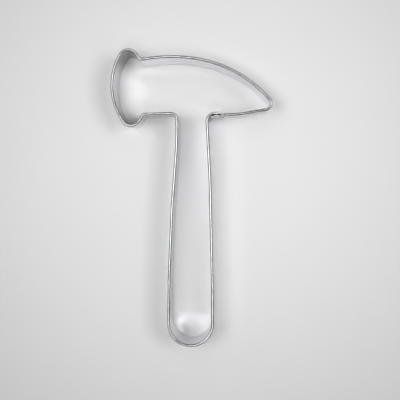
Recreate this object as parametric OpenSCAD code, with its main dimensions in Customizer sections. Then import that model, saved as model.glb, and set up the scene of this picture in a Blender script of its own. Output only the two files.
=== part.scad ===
// Hammer-shaped cookie cutter: one long metal strip bent into the outline of a claw hammer.
// The strip stands on its plain cutting edge at Z = 0, its top edge is folded outwards into a hem,
// and its two ends lap at the right side of the handle, where two small spot welds join them.
// All sizes are millimetres. X runs from the hammer's face to its claw, Y from the end of the
// handle to the head, and the origin is the middle of the cutter's footprint.
// The outline is the cookie's own edge: every length in it is measured to the strip's inner face.

/* [Sheet and hem] */
// Height from the cutting edge to the top of the hem
wall_h = 22; // [18:0.5:30]
// Thickness of the sheet
sheet_t = 0.35; // [0.3:0.05:0.45]
// Clear space inside the folded hem
hem_gap = 0.25; // [0.15:0.05:0.4]
// Length of the leg that the hem folds down outside the wall
hem_leg = 3; // [2:0.25:4.5]

/* [Handle] */
// Length from the round end to the head's lower edge
handle_l = 84.1; // [78:0.1:105]
// Width at the round end
handle_w = 15.1; // [14.4:0.1:18]
// Bend radius of the round end's two corners
end_r = 7.45; // [4:0.05:7.5]
// How much higher the round end's left corner sits than its right corner
end_skew = 0.4; // [0:0.1:1]
// Right side: distance from the handle's axis at its lower bend
right_low_x = 7.4; // [7:0.1:7.7]
// Right side: height of its lower bend
right_low_y = 22.6; // [16:0.2:34]
// Right side: distance from the axis at its upper bend
right_mid_x = 6.6; // [6:0.1:7]
// Right side: height of its upper bend
right_mid_y = 58.9; // [46:0.2:68]
// Right side: distance from the axis at the head
right_neck_x = 5.25; // [4.4:0.05:6]
// Left side: distance from the axis at its lower bend
left_low_x = 7.3; // [7:0.1:7.7]
// Left side: height of its lower bend
left_low_y = 24.6; // [16:0.2:34]
// Left side: distance from the axis at its middle bend
left_mid_x = 6.3; // [5.9:0.1:6.8]
// Left side: height of its middle bend
left_mid_y = 48.5; // [40:0.2:58]
// Left side: distance from the axis at its upper bend
left_top_x = 4.55; // [4.2:0.05:5.4]
// Left side: height of its upper bend
left_top_y = 72.7; // [64:0.2:76]
// Left side: distance from the axis at the head
left_neck_x = 4.45; // [4:0.05:5.2]
// Radius of the gentle bends along both sides
side_r = 60; // [20:1:90]
// Radius of the corner between the handle and the head on the left
left_neck_r = 2.7; // [1.6:0.1:4]
// Radius of the corner between the handle and the head on the right
right_neck_r = 3.5; // [2.6:0.1:4.2]

/* [Hammer face] */
// Distance from the handle's axis to the corner below the face
notch_low_x = 17.3; // [15:0.1:18.5]
// Drop of that corner below the head's lower edge
notch_low_drop = 0.4; // [0:0.1:1]
// Distance from the axis to the point of the face's lower lobe before it is rounded
lobe_low_x = 21.55; // [20.5:0.05:23]
// Drop of that point below the head's lower edge
lobe_low_drop = 7.2; // [6:0.1:9]
// Distance from the axis to the point where the face's two tangents meet
face_x = 31.4; // [29.5:0.1:33]
// Rise of that point above the head's lower edge
face_rise = 9.05; // [8:0.05:10]
// Radius of the bowed face
face_r = 22.3; // [17:0.1:23]
// Distance from the axis to the point of the face's upper lobe before it is rounded
lobe_top_x = 22.5; // [21.5:0.05:24]
// Rise of that point above the head's lower edge
lobe_top_rise = 25.3; // [24:0.1:28]
// Radius of both lobes
lobe_r = 3; // [2:0.1:3.4]
// Distance from the axis to the corner above the face
notch_top_x = 18.8; // [17:0.1:19.5]
// Rise of that corner above the head's lower edge
notch_top_rise = 18.4; // [17:0.1:19.5]
// Radius of both corners beside the face
notch_r = 1.35; // [1.3:0.05:2]

/* [Head and claw] */
// Distance from the axis to the highest point of the head's top edge, on the left
top_x = 7.9; // [4:0.1:12]
// Rise of that point above the head's lower edge
top_rise = 19.8; // [18:0.1:22]
// Radius of the top edge there
top_r = 58; // [30:1:60]
// Distance from the axis to the point where the claw's upper tangents meet
claw_x = 15.45; // [12:0.05:18]
// Rise of that point above the head's lower edge
claw_rise = 17.6; // [16:0.1:19]
// Radius of the claw's back
claw_r = 44.7; // [30:0.1:46]
// Length of the head from the point of the face's tangents to the claw's tip before it is rounded
head_l = 61.85; // [59:0.05:65]
// Rise of the tip above the head's lower edge
tip_rise = 1.8; // [1:0.1:3]
// Radius of the tip
tip_r = 1.85; // [1.3:0.05:2.4]
// Distance from the axis to the bend in the claw's lower edge
under_x = 16.9; // [15.8:0.1:20]
// Drop of the claw's lower edge below the head's lower edge
under_drop = 0.55; // [0.3:0.05:0.9]
// Radius of the bend in the claw's lower edge
under_r = 38; // [20:1:40]

/* [Lap and spot welds] */
// Flat length of the inner lap past the handle's corner
lap_flat = 2.2; // [2.1:0.1:3]
// Clearance between the two hems where the ends lap
lap_gap = 0.1; // [0.05:0.05:0.3]
// Angle through which the outer lap's end follows the handle's corner
lap_curl = 42; // [20:1:60]
// Clearance past the inner lap's end before the outer lap steps back to the outline
step_clear = 0.3; // [0.2:0.05:0.8]
// Length of that step along the edge
step_l = 1.2; // [1:0.1:1.6]
// Radius of the step's two bends
step_r = 1.6; // [1.3:0.1:2.4]
// Number of spot welds, one above the other
weld_count = 2; // [1:1:2]
// Height of the lowest spot weld above the cutting edge
weld_low_z = 5; // [3:0.5:6]
// Distance between spot welds
weld_pitch = 8.5; // [6:0.5:10]
// Diameter of a weld nugget
weld_d = 1.2; // [0.8:0.1:1.2]
// Thickness of a weld nugget between the two sheets
weld_t = 0.2; // [0.1:0.05:0.3]
// Flat rim round a nugget on the floor of its dimple
dimple_rim = 0.1; // [0.05:0.05:0.15]

/* [Hidden] */
$fn = 64;
quarter_turn = 90;

// The folded hem is two sheets and its gap, and its top is a half round of half that size.
hem_t = 2 * sheet_t + hem_gap;
hem_r = hem_t / 2;
crown_z = wall_h - hem_r;

// A bend towards the hem keeps at least this much radius outside the hem.
hem_bend_min = 0.25;

// The curves' fineness: steps over the hem's half round, the largest gap between a bend and its
// chords, and the shortest step along the strip.
crown_step = 30;
chord_error = 0.01;
shortest_step = 0.01;

// The outer lap runs one hem and the clearance outside the inner lap, round the same centre.
lap_pitch = hem_t + lap_gap;
outer_lap_y = handle_l - lap_pitch;
outer_lap_r = right_neck_r - lap_pitch;
neck_lean = atan((right_mid_x - right_neck_x) / (handle_l - right_mid_y));
flat_x = right_neck_x + right_neck_r * tan((quarter_turn + neck_lean) / 2);
inner_end_x = flat_x + lap_flat;
step_in_x = inner_end_x + step_clear;
curl_t = outer_lap_r * tan(lap_curl / 2);
curl_x = flat_x - curl_t;

// Each dimple reaches halfway across what the nugget leaves of the space between the walls.
dimple_depth = (lap_pitch - sheet_t - weld_t) / 2;
dimple_floor_r = weld_d / 2 + dimple_rim;
dimple_mouth_r = dimple_floor_r + dimple_depth;
weld_x = flat_x + lap_flat / 2;

// Distance from the handle's axis to the claw's tip, from the head's whole length.
tip_x = head_l - face_x;

// Corners of the outline, [x, y, bend radius], in order along the strip: from the inner lap down
// the handle's right side, round the end, up the left side, round the face and along the top.
outline = [
    [inner_end_x, handle_l, 0],
    [right_neck_x, handle_l, right_neck_r],
    [right_mid_x, right_mid_y, side_r],
    [right_low_x, right_low_y, side_r],
    [handle_w / 2, 0, end_r],
    [-handle_w / 2, end_skew, end_r],
    [-left_low_x, left_low_y, side_r],
    [-left_mid_x, left_mid_y, side_r],
    [-left_top_x, left_top_y, side_r],
    [-left_neck_x, handle_l, left_neck_r],
    [-notch_low_x, handle_l - notch_low_drop, notch_r],
    [-lobe_low_x, handle_l - lobe_low_drop, lobe_r],
    [-face_x, handle_l + face_rise, face_r],
    [-lobe_top_x, handle_l + lobe_top_rise, lobe_r],
    [-notch_top_x, handle_l + notch_top_rise, notch_r],
    [-top_x, handle_l + top_rise, top_r],
    [claw_x, handle_l + claw_rise, claw_r],
    [tip_x, handle_l + tip_rise, tip_r],
    [under_x, handle_l - under_drop, under_r],
    [step_in_x + step_l, handle_l - under_drop, step_r],
    [step_in_x, outer_lap_y, step_r],
    [curl_x, outer_lap_y, outer_lap_r],
    [curl_x - curl_t * cos(lap_curl), outer_lap_y - curl_t * sin(lap_curl), 0]
];
last = len(outline) - 1;
END_CORNER = 4;
FACE_CORNER = 12;
LOBE_TOP_CORNER = 13;
TIP_CORNER = 17;

// Place of corner i, the way that the strip leaves it, and how far it turns there, left positive.
function corner(i) = [outline[i].x, outline[i].y];
function way(i) = atan2(outline[i + 1].y - outline[i].y, outline[i + 1].x - outline[i].x);
function half_turned(a) = a > 180 ? a - 360 : a < -180 ? a + 360 : a;
function turn(i) = half_turned(way(i) - way(i - 1));
function along(a) = [cos(a), sin(a)];

// Wanted bend radius at corner i, and the length that it takes from the straights beside it.
function wanted_r(i) = turn(i) > 0 ? max(outline[i][2], hem_t + hem_bend_min) : outline[i][2];
function wanted_cut(i) = (i == 0 || i == last) ? 0 : wanted_r(i) * tan(abs(turn(i)) / 2);
function straight(i) = norm(corner(i + 1) - corner(i));

// Neighbouring bends share a straight that is too short for both.
function share(i) = straight(i) / max(wanted_cut(i) + wanted_cut(i + 1), 0.001);
function bend_r(i) = wanted_r(i) * min(1, share(i - 1), share(i));
function cut(i) = (i == 0 || i == last) ? 0 : bend_r(i) * tan(abs(turn(i)) / 2);
function bend_side(i) = turn(i) > 0 ? 1 : -1;
function bend_start(i) = corner(i) - along(way(i - 1)) * cut(i);
function bend_centre(i) = bend_start(i) + along(way(i - 1) + quarter_turn * bend_side(i)) * bend_r(i);

// The footprint's middle, from the outermost bends with the hem outside them.
reach_left = bend_centre(FACE_CORNER).x - bend_r(FACE_CORNER) - hem_t;
reach_right = bend_centre(TIP_CORNER).x + bend_r(TIP_CORNER) + hem_t;
reach_low = bend_centre(END_CORNER).y - bend_r(END_CORNER) - hem_t;
reach_high = bend_centre(LOBE_TOP_CORNER).y + bend_r(LOBE_TOP_CORNER) + hem_t;
middle = [(reach_left + reach_right) / 2, (reach_low + reach_high) / 2, 0];

// The sheet's section as pairs [inner face, outer face] of points [distance outwards, height]. They go
// up the wall, over the half round of the hem and down the folded leg.
function round_pair(a) = [
    [hem_r + hem_r * cos(a), crown_z + hem_r * sin(a)],
    [hem_r + hem_gap / 2 * cos(a), crown_z + hem_gap / 2 * sin(a)]
];
section = concat(
    [[[0, 0], [sheet_t, 0]]],
    [for (a = [180 : -crown_step : 0]) round_pair(a)],
    [[[hem_t, crown_z - hem_leg], [hem_t - sheet_t, crown_z - hem_leg]]]
);
pairs = len(section);

// Places along the inner face where the section stands, [x, y, direction outwards]: both ends of the
// strip and enough steps round each bend to stay within the chord error.
function bend_steps(i) = ceil(abs(turn(i)) / (2 * acos(1 - chord_error / (bend_r(i) + hem_t))));
function bend_place(i, part) =
    let (out = way(i - 1) + quarter_turn + turn(i) * part)
    let (spot = bend_centre(i) - along(out) * bend_r(i) * bend_side(i))
    [spot.x, spot.y, out];
function end_place(i, heading) = [corner(i).x, corner(i).y, heading + quarter_turn];
all_places = concat(
    [end_place(0, way(0))],
    [for (i = [1 : last - 1]) for (k = [0 : bend_steps(i)]) bend_place(i, k / bend_steps(i))],
    [end_place(last, way(last - 1))]
);
function gap_before(k) = norm([all_places[k].x - all_places[k - 1].x, all_places[k].y - all_places[k - 1].y]);
places = [for (k = [0 : len(all_places) - 1]) if (k == 0 || gap_before(k) > shortest_step) all_places[k]];
rings = len(places);

// The strip as one closed skin. Point f of pair k on ring r has the number at(r, k, f).
function at(r, k, f) = (r * pairs + k) * 2 + f;
function skin_point(place, point) = [
    place.x + point[0] * cos(place.z),
    place.y + point[0] * sin(place.z),
    point[1]
];
skin_points = [for (place = places) for (pair = section) for (point = pair) skin_point(place, point)];
side_faces = [
    for (r = [0 : rings - 2]) for (k = [0 : pairs - 2]) each [
        [at(r, k, 0), at(r, k + 1, 0), at(r + 1, k + 1, 0), at(r + 1, k, 0)],
        [at(r, k, 1), at(r + 1, k, 1), at(r + 1, k + 1, 1), at(r, k + 1, 1)]
    ]
];
edge_faces = [
    for (r = [0 : rings - 2]) each [
        [at(r, 0, 0), at(r + 1, 0, 0), at(r + 1, 0, 1), at(r, 0, 1)],
        [at(r, pairs - 1, 1), at(r + 1, pairs - 1, 1), at(r + 1, pairs - 1, 0), at(r, pairs - 1, 0)]
    ]
];
end_faces = [
    for (k = [0 : pairs - 2]) each [
        [at(0, k, 0), at(0, k, 1), at(0, k + 1, 1), at(0, k + 1, 0)],
        [at(rings - 1, k, 0), at(rings - 1, k + 1, 0), at(rings - 1, k + 1, 1), at(rings - 1, k, 1)]
    ]
];

module bent_strip() {
    polyhedron(points = skin_points, faces = concat(side_faces, edge_faces, end_faces), convexity = 10);
}

// A flat cone from a dimple's mouth to its floor, standing on the XY plane.
module dimple_cone() {
    cylinder(h = dimple_depth, r1 = dimple_mouth_r, r2 = dimple_floor_r);
}

// Its child at each spot weld, with +Z pointing from the given face across the lap.
module at_welds(y, inwards) {
    for (k = [0 : weld_count - 1])
        translate([weld_x, y, weld_low_z + k * weld_pitch])
            rotate([inwards ? -quarter_turn : quarter_turn, 0, 0])
                children();
}

// One strip with both laps, each dimpled towards the other at the spot welds.
module cutter_strip() {
    color([0.78, 0.78, 0.80])
        translate(-middle)
            difference() {
                union() {
                    bent_strip();
                    at_welds(handle_l - sheet_t, false) dimple_cone();
                    at_welds(outer_lap_y, true) dimple_cone();
                }
                at_welds(handle_l, false) dimple_cone();
                at_welds(outer_lap_y - sheet_t, true) dimple_cone();
            }
}

// The nuggets that join the floors of facing dimples.
module spot_welds() {
    color([0.62, 0.61, 0.60])
        translate(-middle)
            at_welds(outer_lap_y + dimple_depth, true)
                cylinder(h = weld_t, d = weld_d);
}

cutter_strip();
spot_welds();
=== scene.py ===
"""Looks of a hammer-shaped cookie cutter: one hemmed strip of bright sheet, spot welded."""

import logging
import math
from dataclasses import dataclass, field
from enum import Enum
from typing import Any, Optional, Sequence, Union

import bmesh
import bpy
from mathutils import Matrix, Vector


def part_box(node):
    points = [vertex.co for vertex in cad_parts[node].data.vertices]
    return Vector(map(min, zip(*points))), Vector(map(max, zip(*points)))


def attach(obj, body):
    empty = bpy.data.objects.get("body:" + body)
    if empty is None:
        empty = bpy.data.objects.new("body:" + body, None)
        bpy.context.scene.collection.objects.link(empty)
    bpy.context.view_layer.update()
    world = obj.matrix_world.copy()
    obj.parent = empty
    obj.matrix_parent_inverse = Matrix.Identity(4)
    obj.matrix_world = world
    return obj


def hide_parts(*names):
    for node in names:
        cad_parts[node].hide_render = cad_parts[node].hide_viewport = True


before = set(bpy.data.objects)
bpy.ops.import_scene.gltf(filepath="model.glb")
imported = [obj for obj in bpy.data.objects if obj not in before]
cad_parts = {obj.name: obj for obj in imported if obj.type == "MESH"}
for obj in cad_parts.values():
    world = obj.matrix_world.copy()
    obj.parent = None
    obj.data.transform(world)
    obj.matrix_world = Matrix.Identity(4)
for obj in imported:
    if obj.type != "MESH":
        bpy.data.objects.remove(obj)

log = logging.getLogger("cookie_cutter")

MM = 0.001
Y_AXIS = Vector((0.0, 1.0, 0.0))
Colour = tuple[float, float, float]
Place = tuple[float, float, float]
Span = tuple[float, float]
Source = Union[bpy.types.NodeSocket, float, Sequence[float]]


class SocketKind(Enum):
    """Kinds of sockets on the node groups built here."""

    GEOMETRY = "NodeSocketGeometry"
    OBJECT = "NodeSocketObject"
    MATERIAL = "NodeSocketMaterial"
    WHOLE = "NodeSocketInt"
    NUMBER = "NodeSocketFloat"
    PLACE = "NodeSocketVector"


class Graph:
    """A node tree with short calls that add nodes and join them."""

    SCALARS = ("LENGTH", "DISTANCE", "DOT_PRODUCT")
    SCALE_INPUTS = (0, 3)
    MIX_SHARE, MIX_FIRST, MIX_SECOND, MIX_RESULT = 0, 6, 7, 2

    def __init__(self, tree: bpy.types.NodeTree) -> None:
        """Takes hold of the tree that gets the nodes.

        Args:
            tree: The tree.
        """
        self.tree = tree
        self.given: Optional[bpy.types.NodeOutputs] = None
        self.result: Optional[bpy.types.NodeInputs] = None

    @classmethod
    def group(
        cls, name: str, kind: str, inputs: dict[str, SocketKind], outputs: dict[str, SocketKind]
    ) -> "Graph":
        """Makes a node group with named inputs and outputs.

        Args:
            name: The group's name.
            kind: The tree's type.
            inputs: The inputs by name.
            outputs: The outputs by name.

        Returns:
            The graph of the new group, with what it is given and what it results in.
        """
        tree = bpy.data.node_groups.new(name, kind)
        for label, socket in inputs.items():
            tree.interface.new_socket(label, in_out="INPUT", socket_type=socket.value)
        for label, socket in outputs.items():
            tree.interface.new_socket(label, in_out="OUTPUT", socket_type=socket.value)
        graph = cls(tree)
        graph.given = graph.add("NodeGroupInput").outputs
        graph.result = graph.add("NodeGroupOutput").inputs
        return graph

    def feed(self, socket: bpy.types.NodeSocket, source: Source) -> None:
        """Joins an output to an input, or sets the input's own value.

        Args:
            socket: The input.
            source: An output of another node, or a plain value.
        """
        if isinstance(source, bpy.types.NodeSocket):
            self.tree.links.new(source, socket)
        else:
            socket.default_value = source

    def add(
        self, kind: str, inputs: Optional[dict[Union[str, int], Source]] = None, **settings: Any
    ) -> bpy.types.Node:
        """Adds one node.

        Args:
            kind: The node's type, such as ShaderNodeMath.
            inputs: What goes into its inputs, by name or number.
            **settings: The node's own settings.

        Returns:
            The node.
        """
        node = self.tree.nodes.new(kind)
        for name, value in settings.items():
            setattr(node, name, value)
        for key, source in (inputs or {}).items():
            self.feed(node.inputs[key], source)
        return node

    def math(self, operation: str, *values: Source, clamp: bool = False) -> bpy.types.NodeSocket:
        """Adds a Math node.

        Args:
            operation: The operation's name, such as SINE.
            *values: One to three numbers or outputs.
            clamp: True to keep the result from 0 to 1.

        Returns:
            The result's output.
        """
        inputs = dict(enumerate(values))
        return self.add("ShaderNodeMath", inputs, operation=operation, use_clamp=clamp).outputs[0]

    def total(self, first: Source, second: Source) -> bpy.types.NodeSocket:
        """Adds two numbers."""
        return self.math("ADD", first, second)

    def less(self, first: Source, second: Source) -> bpy.types.NodeSocket:
        """Takes the second number from the first."""
        return self.math("SUBTRACT", first, second)

    def ratio(self, first: Source, second: Source) -> bpy.types.NodeSocket:
        """Divides the first number by the second."""
        return self.math("DIVIDE", first, second)

    def product(self, first: Source, *others: Source) -> bpy.types.NodeSocket:
        """Multiplies numbers, from the first to the last."""
        for other in others:
            first = self.math("MULTIPLY", first, other)
        return first

    def bound(self, value: Source, low: Source, high: Source) -> bpy.types.NodeSocket:
        """Keeps a number from low to high."""
        return self.math("MAXIMUM", low, self.math("MINIMUM", high, value))

    def aim(self, operation: str, *values: Source) -> bpy.types.NodeSocket:
        """Adds a Vector Math node.

        Args:
            operation: The operation's name, such as SCALE.
            *values: Its vectors, and the factor last for SCALE.

        Returns:
            The result's output.
        """
        places = self.SCALE_INPUTS if operation == "SCALE" else range(len(values))
        node = self.add("ShaderNodeVectorMath", dict(zip(places, values)), operation=operation)
        return node.outputs["Value" if operation in self.SCALARS else "Vector"]

    def vector(self, x: Source, y: Source, z: Source = 0.0) -> bpy.types.NodeSocket:
        """Joins three numbers into a vector."""
        return self.add("ShaderNodeCombineXYZ", {0: x, 1: y, 2: z}).outputs[0]

    def split(self, vector: Source) -> bpy.types.NodeOutputs:
        """Splits a vector into its three numbers."""
        return self.add("ShaderNodeSeparateXYZ", {0: vector}).outputs

    def step(self, value: Source, low: Source, high: Source) -> bpy.types.NodeSocket:
        """Adds a soft step that rises from 0 at low to 1 at high.

        Args:
            value: The number that is stepped.
            low: Where the step starts.
            high: Where the step ends.

        Returns:
            The step's output.
        """
        inputs = {"Value": value, "From Min": low, "From Max": high}
        node = self.add("ShaderNodeMapRange", inputs, interpolation_type="SMOOTHSTEP")
        return node.outputs["Result"]

    def fall(self, value: Source, low: Source, high: Source) -> bpy.types.NodeSocket:
        """Adds a soft step that falls from 1 at low to 0 at high."""
        return self.less(1.0, self.step(value, low, high))

    def noise(
        self, place: Source, detail: float, rough: float, seed: Source = 0.0
    ) -> bpy.types.NodeSocket:
        """Adds a noise from 0 to 1.

        Args:
            place: The place in cells of the noise.
            detail: How many finer layers it has.
            rough: How strong the finer layers are.
            seed: Which noise it is.

        Returns:
            The noise's value.
        """
        inputs = {"Vector": place, "W": seed, "Scale": 1.0, "Detail": detail, "Roughness": rough}
        return self.add("ShaderNodeTexNoise", inputs, noise_dimensions="4D").outputs[0]

    def mix(self, share: Source, first: Source, second: Source) -> bpy.types.NodeSocket:
        """Mixes two colours.

        Args:
            share: How much of the second shows.
            first: The first colour.
            second: The second colour.

        Returns:
            The mixed colour.
        """
        node = self.add("ShaderNodeMix", {self.MIX_SHARE: share}, data_type="RGBA")
        for place, colour in ((self.MIX_FIRST, first), (self.MIX_SECOND, second)):
            plain_colour = not isinstance(colour, bpy.types.NodeSocket)
            self.feed(node.inputs[place], (*colour, 1.0) if plain_colour else colour)
        return node.outputs[self.MIX_RESULT]

    def use(self, group: "Graph", inputs: dict[str, Source]) -> bpy.types.NodeOutputs:
        """Places a node group.

        Args:
            group: The group's graph.
            inputs: What goes into its inputs, by name.

        Returns:
            The placed group's outputs.
        """
        node = self.add(self.tree.bl_idname.replace("Tree", "Group"))
        node.node_tree = group.tree
        for name, source in inputs.items():
            self.feed(node.inputs[name], source)
        return node.outputs

    def shade(self, inputs: dict[str, Source]) -> None:
        """Adds the Principled shader and the material's output.

        Args:
            inputs: What goes into the shader's inputs, by name.
        """
        shader = self.add("ShaderNodeBsdfPrincipled", inputs)
        self.add("ShaderNodeOutputMaterial", {"Surface": shader.outputs[0]})


def new_object(name: str, data: bpy.types.ID) -> bpy.types.Object:
    """Makes an object and puts it in the scene."""
    thing = bpy.data.objects.new(name, data)
    bpy.context.scene.collection.objects.link(thing)
    return thing


def new_material(name: str) -> tuple[bpy.types.Material, Graph]:
    """Makes a material that holds no nodes yet, with its graph."""
    material = bpy.data.materials.new(name)
    material.use_nodes = True
    material.node_tree.nodes.clear()
    return material, Graph(material.node_tree)


def stand(place: Place, across: Vector, up: Vector, back: Vector) -> Matrix:
    """Joins a place and the three directions of an object's axes into its matrix."""
    return Matrix.Translation(place) @ Matrix((across, up, back)).transposed().to_4x4()


def divide(low: float, high: float, parts: int) -> list[float]:
    """Divides a length into equal parts and gives the end of each."""
    return [low + (high - low) * k / parts for k in range(1, parts + 1)]


@dataclass(frozen=True)
class Ring:
    """One place along the strip's inner face, as the CAD holds it."""

    spot: Vector
    outward: Vector
    travelled: float

    @property
    def heading(self) -> Vector:
        """The way that the strip runs there."""
        return Vector((self.outward.y, -self.outward.x, 0.0))


@dataclass
class BendLine:
    """The line along which the flat strip is bent, read from the foot of the CAD strip."""

    sharp_turn: float = math.radians(60)
    least_turn: float = 0.001
    same_point: float = 0.002 * MM
    foot_top: float = 0.01 * MM
    parts_per_ring: int = 8
    rings: list[Ring] = field(default_factory=list)

    def read(self, node: bpy.types.Object) -> None:
        """Reads the strip's inner edge, and across the sheet its outer edge, from the foot's rim.

        Args:
            node: The CAD strip.
        """
        copy = bmesh.new()
        copy.from_mesh(node.data)
        bmesh.ops.remove_doubles(copy, verts=copy.verts, dist=self.same_point)
        foot = {f for f in copy.faces if max(v.co.z for v in f.verts) < self.foot_top}
        rim = [e for e in copy.edges if sum(f in foot for f in e.link_faces) == 1]
        beside: dict[bmesh.types.BMVert, list[bmesh.types.BMVert]] = {}
        for edge in rim:
            beside.setdefault(edge.verts[0], []).append(edge.verts[1])
            beside.setdefault(edge.verts[1], []).append(edge.verts[0])
        loop = [rim[0].verts[0], rim[0].verts[1]]
        while len(loop) < len(rim):
            loop.append(next(v for v in beside[loop[-1]] if v is not loop[-2]))
        points = [v.co.copy() for v in loop]
        copy.free()
        inner, outer = self._sides(points)
        travelled = 0.0
        for i, spot in enumerate(inner):
            travelled += (spot - inner[i - 1]).length if i else 0.0
            self.rings.append(Ring(spot, (outer[i] - spot).normalized(), travelled))

    def _sides(self, points: list[Vector]) -> tuple[list[Vector], list[Vector]]:
        """Splits the rim at the strip's square ends.

        Args:
            points: The rim's points in order.

        Returns:
            The inner and the outer edge, both from the inner lap to the outer lap.
        """
        count = len(points)
        corners = []
        for i, point in enumerate(points):
            turn = (point - points[i - 1]).angle(points[(i + 1) % count] - point)
            if turn > self.sharp_turn:
                corners.append(i)
        points = points[corners[0] :] + points[: corners[0]]
        second, third, fourth = (c - corners[0] for c in corners[1:])
        if second == 1:
            sides = [points[1 : third + 1], points[fourth:] + points[:1]]
        else:
            sides = [points[: second + 1], points[third : fourth + 1]]
        sides[1].reverse()
        sides.sort(key=lambda side: sum((b - a).length for a, b in zip(side, side[1:])))
        if (sides[0][1] - sides[0][0]).cross(sides[1][0] - sides[0][0]).z < 0:
            sides = [side[::-1] for side in sides]
        return sides[0], sides[1]

    @property
    def length(self) -> float:
        """The strip's length along its inner face."""
        return self.rings[-1].travelled

    def travel_to(self, x: float, first: bool) -> float:
        """Finds how far along the strip a place on a lap is.

        Args:
            x: The place's x.
            first: True for the inner lap, at the strip's start.

        Returns:
            The distance from the strip's start.
        """
        order = self.rings if first else self.rings[::-1]
        for here, there in zip(order, order[1:]):
            low, high = sorted((here.spot.x, there.spot.x))
            if low <= x <= high:
                share = (x - here.spot.x) / (there.spot.x - here.spot.x)
                return here.travelled + share * (there.travelled - here.travelled)
        raise ValueError("no lap reaches that place")

    def curve(self) -> bpy.types.Object:
        """Makes the line a smooth curve whose bends are round.

        Returns:
            The curve's object.
        """
        data = bpy.data.curves.new("bend_line", "CURVE")
        data.dimensions = "3D"
        data.resolution_u = self.parts_per_ring
        spline = data.splines.new("BEZIER")
        spline.bezier_points.add(len(self.rings) - 1)
        reaches = [self._reach(a, b) for a, b in zip(self.rings, self.rings[1:])]
        reaches = [0.0, *reaches, 0.0]
        for i, (point, ring) in enumerate(zip(spline.bezier_points, self.rings)):
            point.handle_left_type = point.handle_right_type = "FREE"
            point.co = ring.spot
            point.handle_left = ring.spot - ring.heading * reaches[i]
            point.handle_right = ring.spot + ring.heading * reaches[i + 1]
        return new_object("bend_line", data)

    def _reach(self, here: Ring, there: Ring) -> float:
        """Length of the handles that make a round arc between two rings."""
        chord = (there.spot - here.spot).length
        turn = here.heading.angle(there.heading, 0.0)
        if turn < self.least_turn:
            return chord / 3
        return 4 / 3 * math.tan(turn / 4) * chord / (2 * math.sin(turn / 2))


@dataclass
class WeldPlaces:
    """Where the spot welds stand, from the CAD nuggets, and the dimples of the laps there."""

    count: int = 2
    dimple_floor: float = 0.66 * MM
    dimple_mouth: float = 1.15 * MM
    dimple_depth: float = 0.25 * MM
    x: float = field(init=False)
    lowest: float = field(init=False)
    pitch: float = field(init=False)

    def __post_init__(self) -> None:
        """Takes the nuggets' places from their CAD box."""
        low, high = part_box("spot_welds")
        radius = (high.x - low.x) / 2
        self.x = (low.x + high.x) / 2
        self.lowest = low.z + radius
        self.pitch = (high.z - low.z - 2 * radius) / max(self.count - 1, 1)

    @property
    def heights(self) -> list[float]:
        """The nuggets' heights above the cutting edge."""
        return [self.lowest + k * self.pitch for k in range(self.count)]


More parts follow.
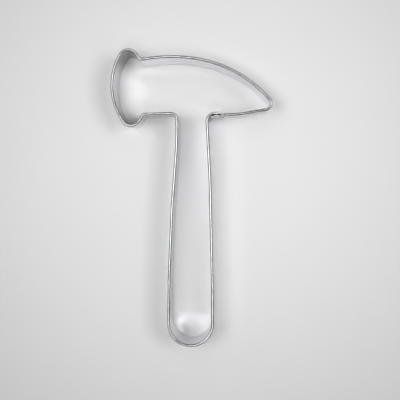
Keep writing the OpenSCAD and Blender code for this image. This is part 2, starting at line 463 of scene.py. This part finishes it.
@dataclass
class HemmedStrip:
    """The cutter's one strip: cut flat, hemmed along its top, bent on edge, lapped at its ends."""

    sheet: float = 0.35 * MM
    hem_gap: float = 0.25 * MM
    hem_leg: float = 3 * MM
    hem_parts: int = 12
    column: float = 0.75 * MM
    row: float = 1.3 * MM
    fine: float = 0.24 * MM
    row_slack: float = 0.01
    burr: float = 0.05 * MM
    burr_parts: int = 2
    burr_angle: float = math.radians(50)
    crease_angle: float = math.radians(40)
    wave: float = 0.04 * MM
    waves_along: float = 75.0
    waves_up: float = 22.0
    wave_layers: Span = (1.5, 0.45)
    stiff_ends: Span = (5 * MM, 14 * MM)
    pinch: float = 0.04
    pinches_along: float = 140.0
    pinch_layers: Span = (2.0, 0.5)
    seed: int = 7
    line: BendLine = field(default_factory=BendLine)
    welds: WeldPlaces = field(default_factory=WeldPlaces)
    hem_radius: float = field(init=False)
    crown: float = field(init=False)
    weld_travels: list[float] = field(init=False)

    def __post_init__(self) -> None:
        """Reads the bend line and the height from the CAD strip."""
        self.line.read(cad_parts["cutter_strip"])
        self.hem_radius = self.sheet + self.hem_gap / 2
        self.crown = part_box("cutter_strip")[1].z - self.hem_radius
        self.weld_travels = [self.line.travel_to(self.welds.x, first) for first in (True, False)]

    def columns(self) -> list[float]:
        """Places along the strip that get an edge of the mesh, closer together at the welds."""
        places = [0.0]
        for here, there in zip(self.line.rings, self.line.rings[1:]):
            span = there.travelled - here.travelled
            middle = (here.travelled + there.travelled) / 2
            reach = span / 2 + 2 * self.welds.dimple_mouth
            near = any(abs(middle - travel) < reach for travel in self.weld_travels)
            parts = math.ceil(span / (self.fine if near else self.column))
            places += divide(here.travelled, there.travelled, parts)
        return places

    def rows(self) -> list[float]:
        """Heights on the flat blank that get an edge of the mesh, closer at the welds and hem."""
        marks = [0.0]
        for height in self.welds.heights:
            marks += [height - self.welds.dimple_mouth, height + self.welds.dimple_mouth]
        folded = self.crown + math.pi * self.hem_radius
        marks += [self.crown, folded, folded + self.hem_leg]
        arc = math.pi * self.hem_radius / self.hem_parts
        steps = [self.row] + [self.fine, self.row] * self.welds.count + [arc, self.row]
        places = [0.0]
        for low, high, size in zip(marks, marks[1:], steps):
            places += divide(low, high, math.ceil((high - low) / size - self.row_slack))
        return places

    def blank(self) -> bpy.types.Object:
        """Cuts the flat blank, with x along the strip and y up its wall and over its hem.

        Returns:
            The blank, whose UV map holds the same lengths.
        """
        columns, rows = self.columns(), self.rows()
        tall = len(rows)
        verts = [(s, v, 0.0) for s in columns for v in rows]
        faces = [
            (i * tall + j, (i + 1) * tall + j, (i + 1) * tall + j + 1, i * tall + j + 1)
            for i in range(len(columns) - 1)
            for j in range(tall - 1)
        ]
        data = bpy.data.meshes.new("blank")
        data.from_pydata(verts, [], faces)
        uv = data.uv_layers.new(name="sheet")
        for loop in data.loops:
            uv.data[loop.index].uv = verts[loop.vertex_index][:2]
        return new_object("blank", data)

    def sizes(self) -> dict[str, float]:
        """The lengths that the bending tree takes as inputs, by name."""
        return {
            "Crown Height": self.crown,
            "Hem Radius": self.hem_radius,
            "Strip Length": self.line.length,
            "First Weld Travel": self.weld_travels[0],
            "Last Weld Travel": self.weld_travels[1],
            "Weld Height": self.welds.lowest,
            "Weld Pitch": self.welds.pitch,
            "Dimple Floor": self.welds.dimple_floor,
            "Dimple Mouth": self.welds.dimple_mouth,
            "Dimple Depth": self.welds.dimple_depth,
            "Wave": self.wave,
            "Pinch": self.pinch,
        }

    def bending(self) -> bpy.types.NodeTree:
        """Builds the Geometry Nodes tree that folds the hem and bends the strip along the line.

        Returns:
            The tree.
        """
        inputs = {
            "Blank": SocketKind.GEOMETRY,
            "Bend Line": SocketKind.OBJECT,
            "Sheet Metal": SocketKind.MATERIAL,
        }
        inputs |= {name: SocketKind.NUMBER for name in self.sizes()}
        inputs |= {"Welds": SocketKind.WHOLE, "Seed": SocketKind.WHOLE}
        outputs = {"Strip": SocketKind.GEOMETRY}
        g = Graph.group("fold_and_bend", "GeometryNodeTree", inputs, outputs)
        along, up, _ = g.split(g.add("GeometryNodeInputPosition").outputs[0])
        fold, height = self._hem(g, along, up)
        pushed = g.total(fold, self._dimples(g, along, up))
        outwards = g.less(pushed, self._sway(g, along, up))

        line = g.add("GeometryNodeObjectInfo", {"Object": g.given["Bend Line"]})
        sampled = {"Curves": line.outputs["Geometry"], "Length": along}
        place = g.add("GeometryNodeSampleCurve", sampled, mode="LENGTH").outputs
        outward = g.aim("CROSS_PRODUCT", (0.0, 0.0, 1.0), place["Tangent"])
        outward = g.aim("NORMALIZE", outward)
        spot = g.aim("ADD", place["Position"], g.aim("SCALE", outward, outwards))
        spot = g.aim("ADD", spot, g.vector(0.0, 0.0, height))

        shape: Source = g.given["Blank"]
        for kind, own in (
            ("GeometryNodeSetPosition", {"Position": spot}),
            ("GeometryNodeRealizeInstances", {}),
            ("GeometryNodeSetMaterial", {"Material": g.given["Sheet Metal"]}),
        ):
            shape = g.add(kind, {"Geometry": shape, **own}).outputs[0]
        g.feed(g.result["Strip"], shape)
        return g.tree

    def _hem(
        self, g: Graph, along: Source, up: Source
    ) -> tuple[bpy.types.NodeSocket, bpy.types.NodeSocket]:
        """Folds the blank's upper part over, with a hem that is squeezed a little here and there.

        Args:
            g: The bending tree's graph.
            along: The distance along the strip.
            up: The height on the flat blank.

        Returns:
            How far out the sheet lies, and its height.
        """
        crown, radius = g.given["Crown Height"], g.given["Hem Radius"]
        past = g.less(up, crown)
        angle = g.bound(g.ratio(past, radius), 0.0, math.pi)
        cells = g.vector(g.product(along, self.pinches_along), 0.0)
        swell = g.noise(cells, *self.pinch_layers, g.given["Seed"])
        squeeze = g.less(1.0, g.product(swell, g.given["Pinch"]))
        fold = g.product(radius, g.less(1.0, g.math("COSINE", angle)), squeeze)
        rise = g.total(g.math("MINIMUM", up, crown), g.product(radius, g.math("SINE", angle)))
        down = g.math("MAXIMUM", 0.0, g.less(past, g.product(math.pi, radius)))
        return fold, g.less(rise, down)

    def _dimples(self, g: Graph, along: Source, up: Source) -> Source:
        """Pushes both laps towards the weld nuggets between them.

        Args:
            g: The bending tree's graph.
            along: The distance along the strip.
            up: The height on the flat blank.

        Returns:
            How far out the sheet is pushed.
        """
        above, pitch = g.less(up, g.given["Weld Height"]), g.given["Weld Pitch"]
        nearest = g.math("ROUND", g.ratio(above, pitch))
        nearest = g.bound(nearest, 0.0, g.less(g.given["Welds"], 1.0))
        off_up = g.less(above, g.product(nearest, pitch))
        push: Source = 0.0
        for lap, way in (("First Weld Travel", 1.0), ("Last Weld Travel", -1.0)):
            away = g.aim("LENGTH", g.vector(g.less(along, g.given[lap]), off_up))
            dent = g.fall(away, g.given["Dimple Floor"], g.given["Dimple Mouth"])
            push = g.total(push, g.product(dent, g.given["Dimple Depth"], way))
        return push

    def _sway(self, g: Graph, along: Source, up: Source) -> bpy.types.NodeSocket:
        """Makes the wall wave faintly inwards, but not at the welded laps.

        Args:
            g: The bending tree's graph.
            along: The distance along the strip.
            up: The height on the flat blank.

        Returns:
            How far in the sheet lies.
        """
        cells = g.vector(g.product(along, self.waves_along), g.product(up, self.waves_up))
        ripple = g.noise(cells, *self.wave_layers, g.given["Seed"])
        from_end = g.math("MINIMUM", along, g.less(g.given["Strip Length"], along))
        return g.product(ripple, g.step(from_end, *self.stiff_ends), g.given["Wave"])

    def build(self, metal: bpy.types.Material) -> bpy.types.Object:
        """Bends the blank, gives it the sheet's thickness and makes it a plain mesh.

        Args:
            metal: The sheet's finish.

        Returns:
            The finished strip.
        """
        blank, line = self.blank(), self.line.curve()
        bend = blank.modifiers.new("bend", "NODES")
        bend.node_group = self.bending()
        values = {"Bend Line": line, "Sheet Metal": metal, **self.sizes()}
        values |= {"Welds": self.welds.count, "Seed": self.seed}
        for item in bend.node_group.interface.items_tree:
            if item.item_type == "SOCKET" and item.name in values:
                bend[item.identifier] = values[item.name]
        self._thicken(blank)
        bpy.context.view_layer.update()
        graph = bpy.context.evaluated_depsgraph_get()
        shape = bpy.data.meshes.new_from_object(blank.evaluated_get(graph))
        shape.name = "hemmed_strip"
        for old in (blank, line):
            bpy.data.objects.remove(old)
        shape.shade_smooth()
        shape.set_sharp_from_angle(angle=self.crease_angle)
        return new_object("hemmed_strip", shape)

    def _thicken(self, blank: bpy.types.Object) -> None:
        """Gives the bent blank its thickness and the rounded burrs of its sheared edges.

        Args:
            blank: The blank.
        """
        wall = blank.modifiers.new("sheet", "SOLIDIFY")
        wall.thickness = self.sheet
        wall.offset = -1.0
        wall.use_even_offset = True
        edge = blank.modifiers.new("burr", "BEVEL")
        edge.width = self.burr
        edge.segments = self.burr_parts
        edge.limit_method = "ANGLE"
        edge.angle_limit = self.burr_angle

    def dress(self, strip: bpy.types.Object) -> None:
        """Puts the finished strip in the place of its CAD node.

        Args:
            strip: The strip's object.
        """
        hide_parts("cutter_strip")
        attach(strip, "root")


@dataclass(frozen=True)
class SharedEffects:
    """Node groups that more than one finish uses.

    The layers of a noise are how many finer ones it has, how strong they are, and its seed.
    """

    LINE_LAYERS = (3.0, 0.6)
    CLOUD_LAYERS = (4.0, 0.55, 3.0)
    SPOT_LAYERS = (3.0, 0.6, 9.0)
    SPOTS_PER_CLOUD = 6.0
    SPOT_STEP = (0.6, 0.75)

    grain: Graph
    marks: Graph

    @classmethod
    def make(cls) -> "SharedEffects":
        """Builds the groups."""
        return cls(cls._grain(), cls._marks())

    @classmethod
    def _grain(cls) -> Graph:
        """Fine lines along the first direction of a place, as rolling or brushing leaves them."""
        inputs = {
            "Place": SocketKind.PLACE,
            "Line Width": SocketKind.NUMBER,
            "Line Length": SocketKind.NUMBER,
        }
        g = Graph.group("rolling_lines", "ShaderNodeTree", inputs, {"Lines": SocketKind.NUMBER})
        run, side, third = g.split(g.given["Place"])
        cells = g.vector(
            g.ratio(run, g.given["Line Length"]),
            g.ratio(side, g.given["Line Width"]),
            g.ratio(third, g.given["Line Width"]),
        )
        g.feed(g.result["Lines"], g.noise(cells, *cls.LINE_LAYERS))
        return g

    @classmethod
    def _marks(cls) -> Graph:
        """Soft clouds of handling on a bright metal, with fewer and sharper dull spots."""
        inputs = {"Place": SocketKind.PLACE, "Size": SocketKind.NUMBER}
        outputs = {"Clouds": SocketKind.NUMBER, "Spots": SocketKind.NUMBER}
        g = Graph.group("handling_marks", "ShaderNodeTree", inputs, outputs)
        cells = g.aim("DIVIDE", g.given["Place"], g.vector(*[g.given["Size"]] * 3))
        spots = g.noise(g.aim("SCALE", cells, cls.SPOTS_PER_CLOUD), *cls.SPOT_LAYERS)
        g.feed(g.result["Clouds"], g.noise(cells, *cls.CLOUD_LAYERS))
        g.feed(g.result["Spots"], g.step(spots, *cls.SPOT_STEP))
        return g


@dataclass(frozen=True)
class SheetMasks:
    """Masks of the marks on the sheet and of its parts that look different."""

    lines: Source
    clouds: Source
    spots: Source
    edge: Source
    painted_shade: Source
    heat: Source
    folded: Source
    flank_shade_mask: Source
    crown: Source
    lapped: Source
    gap_shade_mask: Source


@dataclass(frozen=True)
class SheetFinish:
    """Bright rolled sheet, mirror-like, with a matte crown and painted shade on the flanks of its
    hem.

    Faint lines run along the strip, painted shade darkens the inside of the face and its two
    lobes, and a straw tint rings the welds. The seam between the laps is painted almost black as
    shade.
    """

    metal: Colour = (0.68, 0.68, 0.71)
    dull: Colour = (0.58, 0.58, 0.60)
    # painted shade for the inner wall of the lobes and the face
    painted_shade: Colour = (0.16, 0.16, 0.155)
    straw: Colour = (0.52, 0.43, 0.31)
    stretched: Colour = (0.37, 0.37, 0.37)
    rubbed: Colour = (0.60, 0.60, 0.60)
    # painted shade on the hem's flanks, standing in for the dark room that they mirror
    flank_shade: Colour = (0.08, 0.077, 0.066)
    # painted shade for the gap between the two lapped hems
    lap_gap_shade: Colour = (0.012, 0.011, 0.010)

    line_width: float = 0.09 * MM
    line_length: float = 14 * MM
    line_depth: float = 0.004 * MM
    line_strength: float = 0.12
    cloud_size: float = 9 * MM
    cloud_share: float = 0.25
    edge_share: float = 0.5
    heat_share: float = 0.5

    edge_reach: Span = (0.1 * MM, 0.5 * MM)
    heat_reach: Span = (0.5 * MM, 2.0 * MM)
    crown_reach: Span = (0.06 * MM, 0.17 * MM)
    flank_reach: Span = (0.62 * MM, 0.80 * MM)
    crevice_reach: Span = (1.2 * MM, 1.6 * MM)
    lap_reach: Span = (4.0 * MM, 5.5 * MM)
    fold_start: float = 0.2 * MM

    face_x: Span = (-26 * MM, -23 * MM)
    face_turn: Span = (0.0, 0.3)
    face_shade: float = 0.15
    lobes: tuple[Span, ...] = ((-22.5 * MM, 51 * MM), (-22.5 * MM, 29 * MM))
    lobe_reach: Span = (3 * MM, 7 * MM)
    lobe_turn: Span = (-0.3, 0.0)
    lobe_shade: float = 0.9
    shade_evenness: float = 0.75
    shade_clouds: float = 0.5

    roughness: float = 0.16
    smoothest: float = 0.12
    folded_roughness: float = 0.05
    line_roughness: float = 0.08
    cloud_roughness: float = 0.06
    spot_roughness: float = 0.05
    edge_roughness: float = 0.12
    crown_roughness: float = 0.21

    def make(self, effects: SharedEffects, strip: HemmedStrip) -> bpy.types.Material:
        """Builds the material.

        Args:
            effects: The shared node groups.
            strip: The strip, for the places of its welds and edges.

        Returns:
            The material.
        """
        material, g = new_material("bright_rolled_sheet")
        masks = self._masks(g, effects, strip)
        relief = {
            "Height": masks.lines,
            "Strength": self.line_strength,
            "Distance": self.line_depth,
        }
        g.shade(
            {
                "Base Color": self._tone(g, masks),
                "Metallic": 1.0,
                "Roughness": self._rough(g, masks),
                "Normal": g.add("ShaderNodeBump", relief).outputs[0],
            }
        )
        return material

    def _masks(self, g: Graph, effects: SharedEffects, strip: HemmedStrip) -> SheetMasks:
        """Finds the marks and the parts of the sheet from its own lengths.

        Args:
            g: The material's graph.
            effects: The shared node groups.
            strip: The strip.

        Returns:
            The masks.
        """
        sheet = g.add("ShaderNodeUVMap", uv_map="sheet").outputs[0]
        grain = {"Place": sheet, "Line Width": self.line_width, "Line Length": self.line_length}
        marks = g.use(effects.marks, {"Place": sheet, "Size": self.cloud_size})
        along, up, _ = g.split(sheet)
        top = strip.crown + math.pi / 2 * strip.hem_radius
        from_top = g.math("ABSOLUTE", g.less(up, top))
        from_end = g.math("MINIMUM", along, g.less(strip.line.length, along))
        lapped = g.fall(from_end, *self.lap_reach)
        return SheetMasks(
            lines=g.use(effects.grain, grain)["Lines"],
            clouds=marks["Clouds"],
            spots=marks["Spots"],
            edge=g.fall(up, *self.edge_reach),
            painted_shade=self._painted_shade(g, marks["Clouds"]),
            heat=self._heat(g, along, up, strip),
            folded=g.step(up, strip.crown - self.fold_start, strip.crown),
            flank_shade_mask=g.fall(from_top, *self.flank_reach),
            crown=g.fall(from_top, *self.crown_reach),
            lapped=lapped,
            gap_shade_mask=g.product(lapped, g.fall(from_top, *self.crevice_reach)),
        )

    def _tone(self, g: Graph, masks: SheetMasks) -> bpy.types.NodeSocket:
        """Lays the colours over each other.

        Args:
            g: The material's graph.
            masks: The sheet's masks.

        Returns:
            The colour.
        """
        tone: Source = self.metal
        for share, colour in (
            (g.product(masks.clouds, self.cloud_share), self.dull),
            (g.product(masks.edge, self.edge_share), self.dull),
            # painted shade inside the lobes and, thinly, on the face's inner wall
            (masks.painted_shade, self.painted_shade),
            (g.product(masks.heat, self.heat_share), self.straw),
            # painted shade: the hem's flanks are darkened, standing in for the dark room that they
            # mirror
            (masks.flank_shade_mask, self.flank_shade),
            # painted shade: the seam between the laps is darkened almost to black, as the shadow
            # in the gap between the hems
            (masks.gap_shade_mask, self.lap_gap_shade),
            (masks.crown, g.mix(masks.lapped, self.stretched, self.rubbed)),
        ):
            tone = g.mix(share, tone, colour)
        return tone

    def _rough(self, g: Graph, masks: SheetMasks) -> bpy.types.NodeSocket:
        """Adds up the roughness: smoother where the sheet is folded, matte on the hem's crown.

        Args:
            g: The material's graph.
            masks: The sheet's masks.

        Returns:
            The roughness.
        """
        rough: Source = self.smoothest
        for mask, share in (
            (masks.lines, self.line_roughness),
            (masks.clouds, self.cloud_roughness),
            (masks.spots, self.spot_roughness),
            (masks.edge, self.edge_roughness),
        ):
            rough = g.total(rough, g.product(mask, share))
        burnish = g.product(masks.folded, 1.0 - self.folded_roughness / self.roughness)
        rough = g.product(rough, g.less(1.0, burnish))
        return g.total(rough, g.product(masks.crown, self.crown_roughness))

    def _painted_shade(self, g: Graph, clouds: Source) -> bpy.types.NodeSocket:
        """Marks the painted shade inside the face's two lobes and, thinly, on the face between
        them.

        Args:
            g: The material's graph.
            clouds: A noise that breaks the painted shade up.

        Returns:
            How strong the painted shade is.
        """
        # Painted shade: the inner wall is darkened inside the two narrow lobes and thinly across
        # the face.
        x, y, _ = g.split(g.add("ShaderNodeTexCoord").outputs["Object"])
        normal = g.add("ShaderNodeNewGeometry").outputs["Normal"]
        inside = g.step(g.split(normal)[0], *self.face_turn)
        shade_strength = g.product(self.face_shade, g.product(g.fall(x, *self.face_x), inside))
        for lobe_x, lobe_y in self.lobes:
            off = g.vector(g.less(x, lobe_x), g.less(y, lobe_y))
            outwards = g.aim("DOT_PRODUCT", g.aim("NORMALIZE", off), normal)
            inside = g.fall(outwards, *self.lobe_turn)
            lobe = g.fall(g.aim("LENGTH", off), *self.lobe_reach)
            shade_strength = g.math("MAXIMUM", shade_strength, g.product(lobe, inside, self.lobe_shade))
        broken = g.total(self.shade_evenness, g.product(clouds, self.shade_clouds))
        return g.math("MULTIPLY", shade_strength, broken, clamp=True)

    def _heat(
        self, g: Graph, along: Source, up: Source, strip: HemmedStrip
    ) -> bpy.types.NodeSocket:
        """Marks a soft ring round each weld, where its heat has coloured the sheet.

        Args:
            g: The material's graph.
            along: The distance along the strip.
            up: The height on the flat blank.
            strip: The strip.

        Returns:
            How strongly the tint shows.
        """
        tint: Source = 0.0
        for travel in strip.weld_travels:
            for height in strip.welds.heights:
                away = g.aim("LENGTH", g.vector(g.less(along, travel), g.less(up, height)))
                tint = g.math("MAXIMUM", tint, g.fall(away, *self.heat_reach))
        return tint


@dataclass(frozen=True)
class WeldFinish:
    """Dull fused steel of the weld nuggets."""

    steel: Colour = (0.42, 0.40, 0.38)
    scorched: Colour = (0.20, 0.17, 0.15)
    cloud_size: float = 0.6 * MM
    line_width: float = 0.08 * MM
    line_length: float = 0.2 * MM
    line_depth: float = 0.02 * MM
    line_strength: float = 0.6
    roughness: float = 0.35
    spot_roughness: float = 0.3

    def make(self, effects: SharedEffects) -> bpy.types.Material:
        """Builds the material.

        Args:
            effects: The shared node groups.

        Returns:
            The material.
        """
        material, g = new_material("fused_steel")
        place = g.add("ShaderNodeTexCoord").outputs["Object"]
        grain = {"Place": place, "Line Width": self.line_width, "Line Length": self.line_length}
        marks = g.use(effects.marks, {"Place": place, "Size": self.cloud_size})
        lines = g.use(effects.grain, grain)["Lines"]
        relief = {"Height": lines, "Strength": self.line_strength, "Distance": self.line_depth}
        rough = g.total(self.roughness, g.product(marks["Spots"], self.spot_roughness))
        g.shade(
            {
                "Base Color": g.mix(marks["Clouds"], self.steel, self.scorched),
                "Metallic": 1.0,
                "Roughness": rough,
                "Normal": g.add("ShaderNodeBump", relief).outputs[0],
            }
        )
        return material


@dataclass
class SpotWelds:
    """The two nuggets between the laps, kept as the CAD holds them."""

    finish: WeldFinish = field(default_factory=WeldFinish)

    def dress(self, effects: SharedEffects) -> bpy.types.Object:
        """Gives the CAD nuggets their finish.

        Args:
            effects: The shared node groups.

        Returns:
            The nuggets' object.
        """
        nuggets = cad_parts["spot_welds"]
        metal = self.finish.make(effects)
        if not nuggets.material_slots:
            nuggets.data.materials.append(metal)
        for slot in nuggets.material_slots:
            slot.material = metal
        return nuggets


@dataclass(frozen=True)
class SoftLight:
    """One soft white light of the studio."""

    name: str
    place: Place
    width: float
    depth: float
    watts: float

    def hang(self) -> None:
        """Hangs the light, turned to the cutter, with its width along x."""
        data = bpy.data.lights.new(self.name, "AREA")
        data.shape = "RECTANGLE"
        data.size, data.size_y = self.width, self.depth
        data.energy = self.watts
        away = Vector(self.place).normalized()
        across = Y_AXIS.cross(away).normalized()
        thing = new_object(self.name, data)
        thing.matrix_world = stand(self.place, across, away.cross(across), away)


@dataclass
class Studio:
    """The pale table, the soft lights and the camera above the cutter."""

    table: Colour = (0.85, 0.85, 0.85)
    table_size: float = 3.0
    table_drop: float = 0.01 * MM
    table_roughness: float = 0.7
    table_shine: float = 0.2
    # a painted pool of light on the board: its middle, reach, falloff and darkest edge
    light_pool_centre: Place = (8 * MM, 20 * MM, 0.0)
    light_pool_reach: float = 76 * MM
    light_pool_rate: float = 0.16
    darkest_pool_edge: float = 0.70
    clouds_per_m: float = 40.0
    cloud_layers: Span = (3.0, 0.5)
    cloud_share: float = 0.03
    walls: Colour = (0.25, 0.25, 0.25)
    ceiling: Colour = (0.02, 0.02, 0.02)
    ceiling_rise: Span = (0.60, 0.80)
    lights: tuple[SoftLight, ...] = (
        SoftLight("left", (-0.16, 0.0, 0.88), 0.18, 0.25, 2.32),
        SoftLight("far_left", (-0.28, 0.06, 0.88), 0.15, 0.30, 0.88),
        SoftLight("right", (0.32, 0.045, 0.88), 0.26, 0.26, 2.50),
        SoftLight("beyond", (-0.02, 0.30, 0.88), 0.10, 0.10, 0.42),
        SoftLight("beyond_right", (0.15, 0.34, 0.88), 0.15, 0.15, 0.14),
        SoftLight("beyond_left", (-0.26, 0.42, 0.88), 0.15, 0.25, 0.16),
        SoftLight("near", (-0.01, -0.17, 0.88), 0.10, 0.10, 0.86),
        SoftLight("near_right", (0.45, -0.32, 0.88), 0.30, 0.15, 0.36),
    )
    eye: Place = (0.01374, 0.00332, 0.42308)
    looking: Place = (-0.02646661, -0.01032166, -0.99959641)
    focal_length: float = 100.27
    sensor_width: float = 36.0
    nearest_seen: float = 0.01

    def lay_table(self) -> bpy.types.Object:
        """Lays the pale table just under the cutting edge.

        Returns:
            The table's object.
        """
        half, level = self.table_size / 2, -self.table_drop
        corners = [(-half, -half), (half, -half), (half, half), (-half, half)]
        data = bpy.data.meshes.new("table")
        data.from_pydata([(x, y, level) for x, y in corners], [], [(0, 1, 2, 3)])
        table = new_object("table", data)
        data.materials.append(self._board())
        return table

    def _board(self) -> bpy.types.Material:
        """Makes the table's finish, a painted pool of light that darkens a little away from its
        middle.

        Returns:
            The material.
        """
        material, g = new_material("pale_board")
        place = g.add("ShaderNodeTexCoord").outputs["Object"]
        # Painted light: the board's tone falls off with distance from a middle point, down to a
        # darkest edge.
        away = g.ratio(g.aim("DISTANCE", place, self.light_pool_centre), self.light_pool_reach)
        light_pool = g.ratio(1.0, g.total(1.0, g.product(away, away, self.light_pool_rate)))
        noise = g.noise(g.aim("SCALE", place, self.clouds_per_m), *self.cloud_layers)
        lit = g.less(g.math("MAXIMUM", light_pool, self.darkest_pool_edge), g.product(noise, self.cloud_share))
        g.shade(
            {
                "Base Color": g.aim("SCALE", self.table, lit),
                "Roughness": self.table_roughness,
                "Specular IOR Level": self.table_shine,
            }
        )
        return material

    def hang_lights(self) -> None:
        """Hangs the lights and sets the greys of the room's walls and ceiling."""
        for light in self.lights:
            light.hang()
        world = bpy.data.worlds.new("room")
        world.use_nodes = True
        g = Graph(world.node_tree)
        rise = g.split(g.add("ShaderNodeTexCoord").outputs["Generated"])[2]
        tone = g.mix(g.step(rise, *self.ceiling_rise), self.walls, self.ceiling)
        g.feed(world.node_tree.nodes["Background"].inputs["Color"], tone)
        scene = bpy.context.scene
        scene.world = world
        scene.view_settings.view_transform = "Standard"
        scene.cycles.blur_glossy = 0.0

    def set_camera(self) -> None:
        """Sets the camera where the photograph was taken from, with the handle pointing down."""
        ahead = Vector(self.looking).normalized()
        right = ahead.cross(Y_AXIS).normalized()
        data = bpy.data.cameras.new("camera")
        data.lens = self.focal_length
        data.sensor_width = self.sensor_width
        data.clip_start = self.nearest_seen
        camera = new_object("camera", data)
        camera.matrix_world = stand(self.eye, right, right.cross(ahead), -ahead)
        bpy.context.scene.camera = camera


def tell(piece: bpy.types.Object) -> None:
    """Reports a finished piece."""
    log.info("%s: %d faces", piece.name, len(piece.data.polygons))


def main() -> None:
    """Builds the cutter's pieces in order, then the studio."""
    logging.basicConfig(level=logging.INFO, format="%(name)s %(message)s")
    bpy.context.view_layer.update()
    effects = SharedEffects.make()
    strip = HemmedStrip()
    piece = strip.build(SheetFinish().make(effects, strip))
    strip.dress(piece)
    tell(piece)
    tell(SpotWelds().dress(effects))
    studio = Studio()
    tell(studio.lay_table())
    studio.hang_lights()
    studio.set_camera()


if __name__ == "__main__":
    main()
